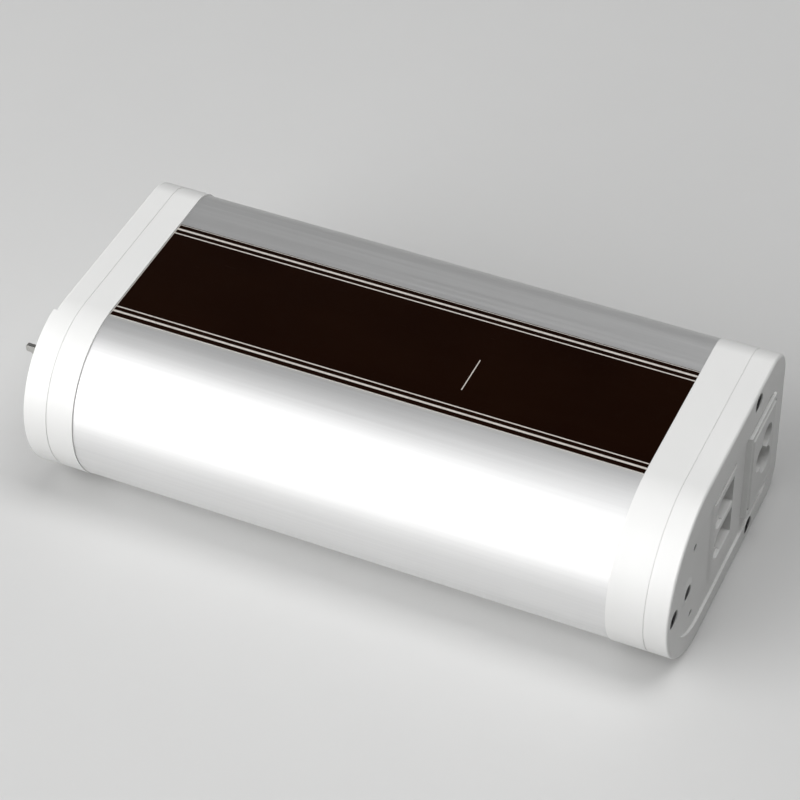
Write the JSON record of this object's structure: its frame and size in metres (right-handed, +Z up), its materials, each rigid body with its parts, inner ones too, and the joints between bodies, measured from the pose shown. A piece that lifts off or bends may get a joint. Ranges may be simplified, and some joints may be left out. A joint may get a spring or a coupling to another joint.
{
  "type": "curtain motor",
  "caption": "Curtain drive motor with a D-section aluminium body, white end caps, mains inlet, modular control sockets and a latched output drive.",
  "frame": {"origin": "middle of the flat underside, halfway along the case between the two cap faces", "axes": "+X along the drive axis towards the socket end, +Y towards the flat far side, +Z up through the label face"},
  "size_m": [0.2111, 0.095, 0.057],
  "materials": {
    "anodised_aluminium": "fine brushed along the length, satin",
    "label_film": "gloss near-black brown with pale lines",
    "white_plastic": "fine satin moulding",
    "dark_screw": "black oxide",
    "grey_plastic": "moulded",
    "contact_metal": "bright plated",
    "button_black": "moulded",
    "light_window": "smoked clear",
    "board_green": "solder mask",
    "steel": "bright",
    "drive_steel": "machined",
    "ferrite": "sintered",
    "copper_wire": "enamelled",
    "gear_nylon": "moulded",
    "gearbox_alloy": "die cast",
    "damper_rubber": "matte",
    "component_plastic": "sleeved",
    "terminal_green": "moulded"
  },
  "bodies": {
    "case": {"body_extrusion": "anodised_aluminium", "rating_label": "label_film", "output_collar": "white_plastic", "output_cover": "white_plastic", "socket_collar": "white_plastic", "socket_cover": "white_plastic", "output_cover_screws": "dark_screw", "socket_cover_screws": "dark_screw", "power_inlet": "white_plastic", "inlet_pins": "contact_metal", "jack_upper": "grey_plastic", "jack_lower": "grey_plastic", "jack_contacts": "contact_metal", "control_board": "board_green", "control_board_screws": "dark_screw", "button_switch": "button_black", "indicator_light_pipes": "light_window", "radio_module": "button_black", "motor_can": "steel", "motor_magnets": "ferrite", "motor_end_bell": "button_black", "motor_brushes": "ferrite", "motor_bearings": "steel", "motor_dampers": "damper_rubber", "encoder_board": "board_green", "gearbox_adapter": "gearbox_alloy", "ring_gear": "gear_nylon", "gearbox_cover": "gearbox_alloy", "gearbox_screws": "dark_screw", "output_bearings": "steel", "lock_claw": "steel", "latch_spring": "steel", "power_board": "board_green", "board_terminals": "terminal_green", "line_filter_choke": "copper_wire", "line_fuse": "terminal_green", "bulk_capacitor": "component_plastic", "transformer_core": "ferrite", "transformer_winding": "copper_wire", "rectifier_heatsink": "gearbox_alloy", "output_capacitors": "component_plastic", "internal_leads": "component_plastic"},
    "rotor": {"rotor_shaft": "steel", "armature_core": "ferrite", "armature_winding": "copper_wire", "commutator": "contact_metal", "encoder_magnet": "ferrite", "sun_gear": "steel"},
    "first_carrier": {"first_carrier": "steel"},
    "output": {"output_carrier": "steel", "drive_coupling": "drive_steel"},
    "setting_button": {"setting_button": "button_black"},
    "lock_latch": {"lock_latch": "button_black"},
    "first_planet_1": {"first_planet_1": "gear_nylon"},
    "second_planet_1": {"second_planet_1": "gear_nylon"},
    "first_planet_2": {"first_planet_2": "gear_nylon"},
    "second_planet_2": {"second_planet_2": "gear_nylon"},
    "first_planet_3": {"first_planet_3": "gear_nylon"},
    "second_planet_3": {"second_planet_3": "gear_nylon"}
  },
  "joints": [
    {"name": "rotor_spin", "type": "hinge", "parent": "case", "child": "rotor", "pos_m": [0, -0.0188, 0.0283], "axis": [1, 0, 0], "continuous": true},
    {"name": "first_carrier_spin", "type": "hinge", "parent": "case", "child": "first_carrier", "pos_m": [0, -0.0188, 0.0283], "axis": [1, 0, 0], "continuous": true},
    {"name": "output_spin", "type": "hinge", "parent": "case", "child": "output", "pos_m": [0, -0.0188, 0.0283], "axis": [1, 0, 0], "continuous": true},
    {"name": "first_planet_1_spin", "type": "hinge", "parent": "first_carrier", "child": "first_planet_1", "pos_m": [0, -0.0089, 0.0283], "axis": [1, 0, 0], "continuous": true},
    {"name": "second_planet_1_spin", "type": "hinge", "parent": "output", "child": "second_planet_1", "pos_m": [0, -0.0089, 0.0283], "axis": [1, 0, 0], "continuous": true},
    {"name": "first_planet_2_spin", "type": "hinge", "parent": "first_carrier", "child": "first_planet_2", "pos_m": [0, -0.02375, 0.03687], "axis": [1, 0, 0], "continuous": true},
    {"name": "second_planet_2_spin", "type": "hinge", "parent": "output", "child": "second_planet_2", "pos_m": [0, -0.02375, 0.03687], "axis": [1, 0, 0], "continuous": true},
    {"name": "first_planet_3_spin", "type": "hinge", "parent": "first_carrier", "child": "first_planet_3", "pos_m": [0, -0.02375, 0.01973], "axis": [1, 0, 0], "continuous": true},
    {"name": "second_planet_3_spin", "type": "hinge", "parent": "output", "child": "second_planet_3", "pos_m": [0, -0.02375, 0.01973], "axis": [1, 0, 0], "continuous": true},
    {"name": "button_press", "type": "slide", "parent": "case", "child": "setting_button", "axis": [-1, 0, 0], "range_m": [0, 0.0005], "stiffness_N_per_m": 400, "springref_m": -0.002},
    {"name": "latch_slide", "type": "slide", "parent": "case", "child": "lock_latch", "axis": [0, 1, 0], "range_m": [0, 0.003], "stiffness_N_per_m": 500, "springref_m": -0.004, "deforming": ["latch_spring"]}
  ],
  "couplings": [
    {"joint": "first_carrier_spin", "follows": "rotor_spin", "ratio": 0.18182},
    {"joint": "output_spin", "follows": "rotor_spin", "ratio": 0.033058},
    {"joint": "first_planet_1_spin", "follows": "rotor_spin", "ratio": -0.46753},
    {"joint": "second_planet_1_spin", "follows": "rotor_spin", "ratio": -0.085006},
    {"joint": "first_planet_2_spin", "follows": "rotor_spin", "ratio": -0.46753},
    {"joint": "second_planet_2_spin", "follows": "rotor_spin", "ratio": -0.085006},
    {"joint": "first_planet_3_spin", "follows": "rotor_spin", "ratio": -0.46753},
    {"joint": "second_planet_3_spin", "follows": "rotor_spin", "ratio": -0.085006}
  ]
}
